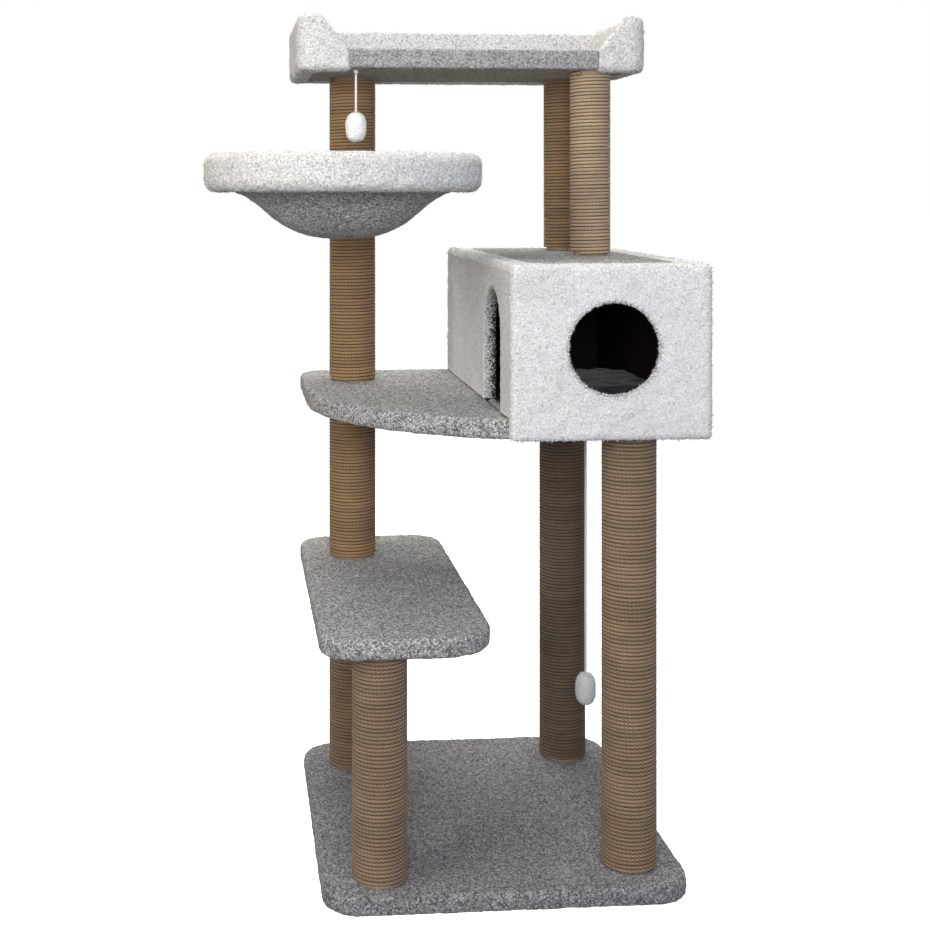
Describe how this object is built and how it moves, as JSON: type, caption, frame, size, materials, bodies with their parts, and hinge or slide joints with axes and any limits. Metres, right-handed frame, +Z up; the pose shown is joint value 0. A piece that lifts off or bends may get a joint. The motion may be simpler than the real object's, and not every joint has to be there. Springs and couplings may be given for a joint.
{
  "type": "cat tree",
  "caption": "Carpeted cat tree with rope-wrapped posts, a shelf, a house with a round entrance and a side door, a hanging bowl bed, a raised tray bed and toys on strings.",
  "frame": {"origin": "centre of the base's underside, where the cat tree rests on the floor", "axes": "+Z up along the posts, -Y towards the front with the round entrance, +X to the right as seen from the front"},
  "size_m": [0.8109, 0.6592, 1.44],
  "materials": {
    "white_carpet": "matt cut pile, fine grey specks",
    "grey_carpet": "matt cut pile, light and dark specks",
    "jute_rope": "twisted jute, fibrous, matt",
    "post_core": "raw, hidden by the rope",
    "plywood": "raw board",
    "house_board": "dark reddish brown board",
    "tray_underside": "brownish grey board",
    "zinc_steel": "zinc plated",
    "fleece": "soft short nap",
    "string": "twisted cotton",
    "pompom": "fluffy yarn"
  },
  "bodies": {
    "root": {"base_board": "plywood", "base_bolt_front": "zinc_steel", "base_bolt_rear": "zinc_steel", "base_bolt_short": "zinc_steel", "base_bolt_tall": "zinc_steel", "base_carpet": "grey_carpet", "bowl_bolt_lower": "zinc_steel", "bowl_bolt_upper": "zinc_steel", "bowl_hoop": "plywood", "bowl_rim_carpet": "white_carpet", "bowl_skin": "grey_carpet", "front_post_core": "post_core", "front_post_rope": "jute_rope", "house_back_panel": "house_board", "house_cover": "white_carpet", "house_cushion": "fleece", "house_front_panel": "house_board", "house_left_panel": "house_board", "house_right_panel": "house_board", "house_roof_panel": "house_board", "platform_board": "plywood", "platform_bolt_front": "zinc_steel", "platform_bolt_rear": "zinc_steel", "platform_carpet": "grey_carpet", "platform_stud": "zinc_steel", "rear_post_core": "post_core", "rear_post_rope": "jute_rope", "roof_bolt_front": "zinc_steel", "roof_bolt_rear": "zinc_steel", "roof_carpet": "grey_carpet", "roof_post_front_core": "post_core", "roof_post_front_rope": "jute_rope", "roof_post_rear_core": "post_core", "roof_post_rear_rope": "jute_rope", "shelf_board": "plywood", "shelf_bolt_short": "zinc_steel", "shelf_carpet": "grey_carpet", "shelf_stud": "zinc_steel", "short_post_core": "post_core", "short_post_rope": "jute_rope", "tall_post_lower_core": "post_core", "tall_post_lower_rope": "jute_rope", "tall_post_middle_core": "post_core", "tall_post_middle_rope": "jute_rope", "tall_post_upper_core": "post_core", "tall_post_upper_rope": "jute_rope", "tray_board": "tray_underside", "tray_bolt_front": "zinc_steel", "tray_bolt_rear": "zinc_steel", "tray_bolt_tall": "zinc_steel", "tray_cover": "white_carpet", "tray_floor_carpet": "grey_carpet", "tray_front_strip": "grey_carpet", "tray_wall": "plywood"},
    "tray_toy_pivot": {"tray_toy_knot": "string"},
    "tray_toy": {"tray_toy_string": "string", "tray_toy_pompom": "pompom"},
    "house_toy_pivot": {"house_toy_knot": "string"},
    "house_toy": {"house_toy_string": "string", "house_toy_pompom": "pompom"}
  },
  "joints": [
    {"name": "tray_toy_swing_fore_aft", "type": "hinge", "parent": "root", "child": "tray_toy_pivot", "pos_m": [-0.218, -0.006, 1.3375], "axis": [1, 0, 0], "range_deg": [-40, 40]},
    {"name": "tray_toy_swing_sideways", "type": "hinge", "parent": "tray_toy_pivot", "child": "tray_toy", "pos_m": [-0.218, -0.006, 1.3375], "axis": [0, 1, 0], "range_deg": [-40, 40]},
    {"name": "house_toy_swing_fore_aft", "type": "hinge", "parent": "root", "child": "house_toy_pivot", "pos_m": [0.197, 0, 0.7348], "axis": [1, 0, 0], "range_deg": [-14, 14]},
    {"name": "house_toy_swing_sideways", "type": "hinge", "parent": "house_toy_pivot", "child": "house_toy", "pos_m": [0.197, 0, 0.7348], "axis": [0, 1, 0], "range_deg": [-40, 30]}
  ]
}
